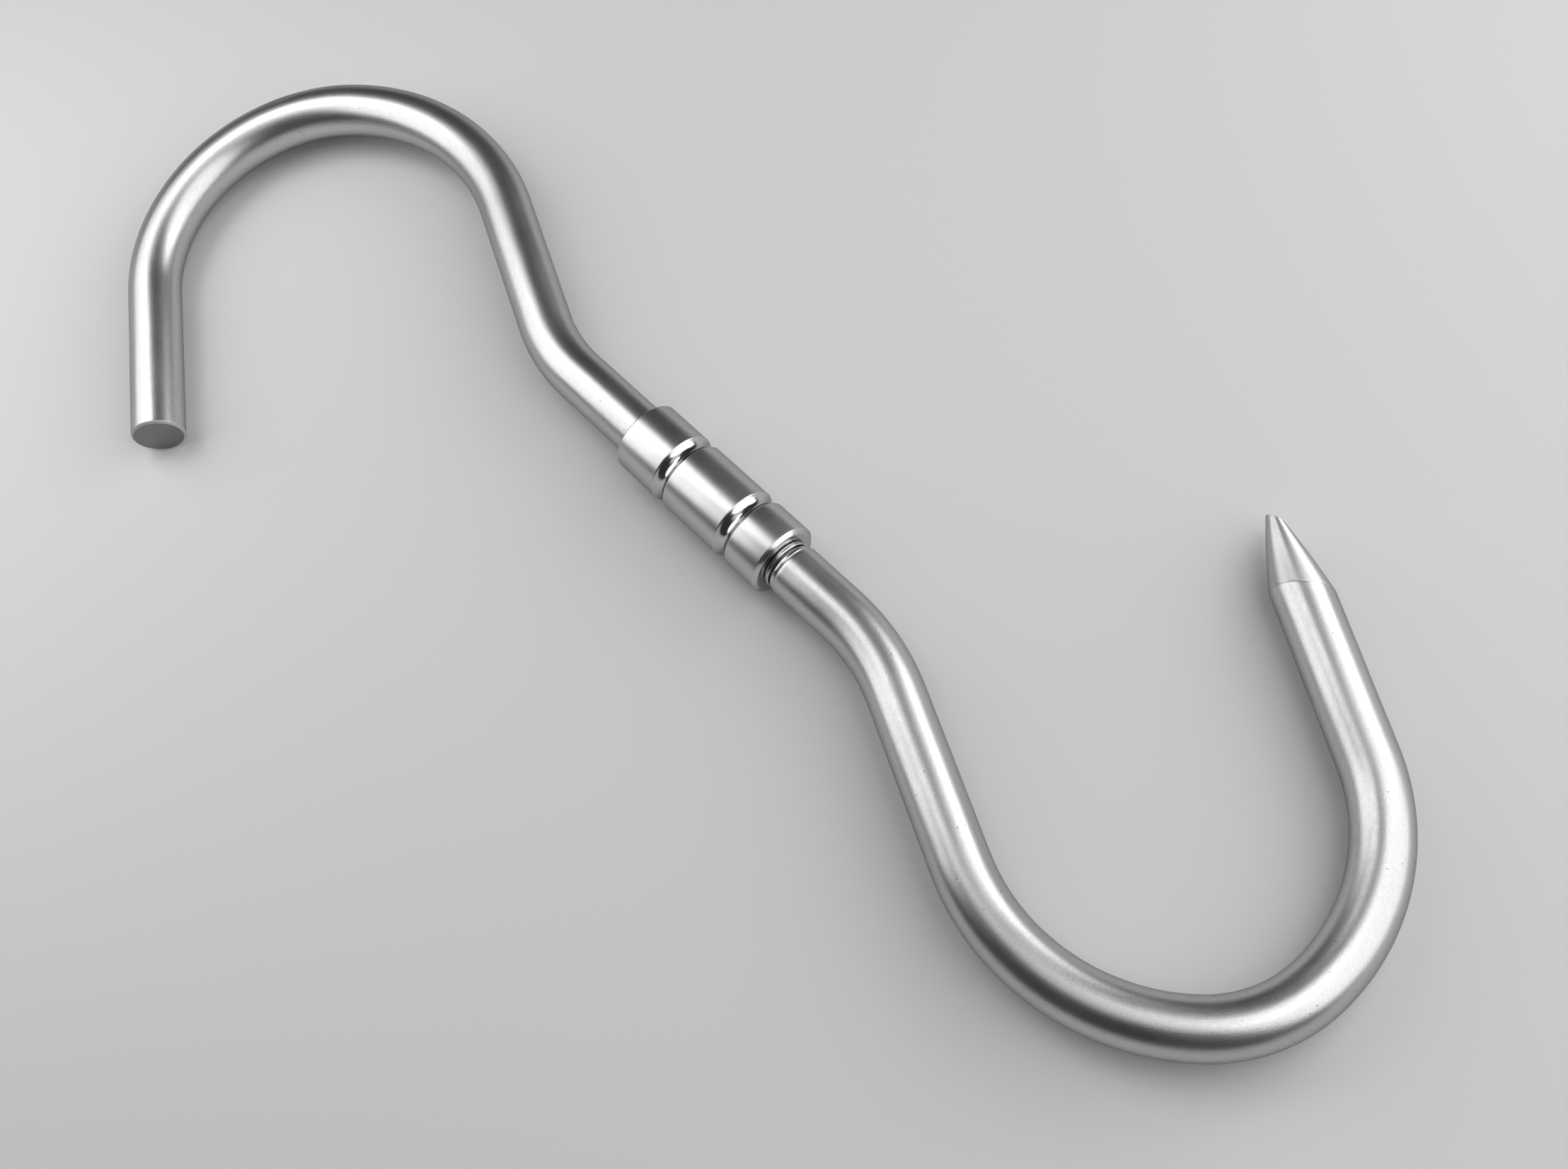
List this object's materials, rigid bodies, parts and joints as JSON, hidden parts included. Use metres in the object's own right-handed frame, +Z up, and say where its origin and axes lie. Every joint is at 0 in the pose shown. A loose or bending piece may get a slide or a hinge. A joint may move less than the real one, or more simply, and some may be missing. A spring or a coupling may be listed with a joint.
{
  "type": "swivel s hook",
  "caption": "Steel S hook with a blunt rail hook and a sharp load hook that spin on each other in a turned sleeve.",
  "frame": {"origin": "on the floor under the middle of the hook's box, as it lies on its side", "axes": "+X along the swivel from the blunt hook to the pointed hook; +Y towards the point; +Z up, square to the side on which the hook lies"},
  "size_m": [0.3244, 0.1548, 0.0164],
  "materials": {
    "upper_hook": "bright drawn stainless bar with fine lengthwise grain",
    "lower_hook": "bright drawn stainless bar, with a ground point",
    "sleeve": "turned and polished stainless steel",
    "bush": "turned and polished stainless steel",
    "neck_washer": "plain stainless washer",
    "bronze": "machined bearing bronze",
    "turned_steel": "plain turned steel"
  },
  "bodies": {
    "upper": {"upper_hook": "upper_hook", "swivel_sleeve": "sleeve", "sleeve_bush": "bush", "bush_washer": "neck_washer", "thrust_washer": "bronze"},
    "lower": {"lower_hook": "lower_hook", "shoulder_washer": "neck_washer", "retaining_collar": "turned_steel", "lock_pin": "turned_steel"}
  },
  "joints": [
    {"name": "swivel", "type": "hinge", "parent": "upper", "child": "lower", "pos_m": [0.0202, 0.00288, 0.0082], "axis": [1, 0, 0], "continuous": true}
  ]
}
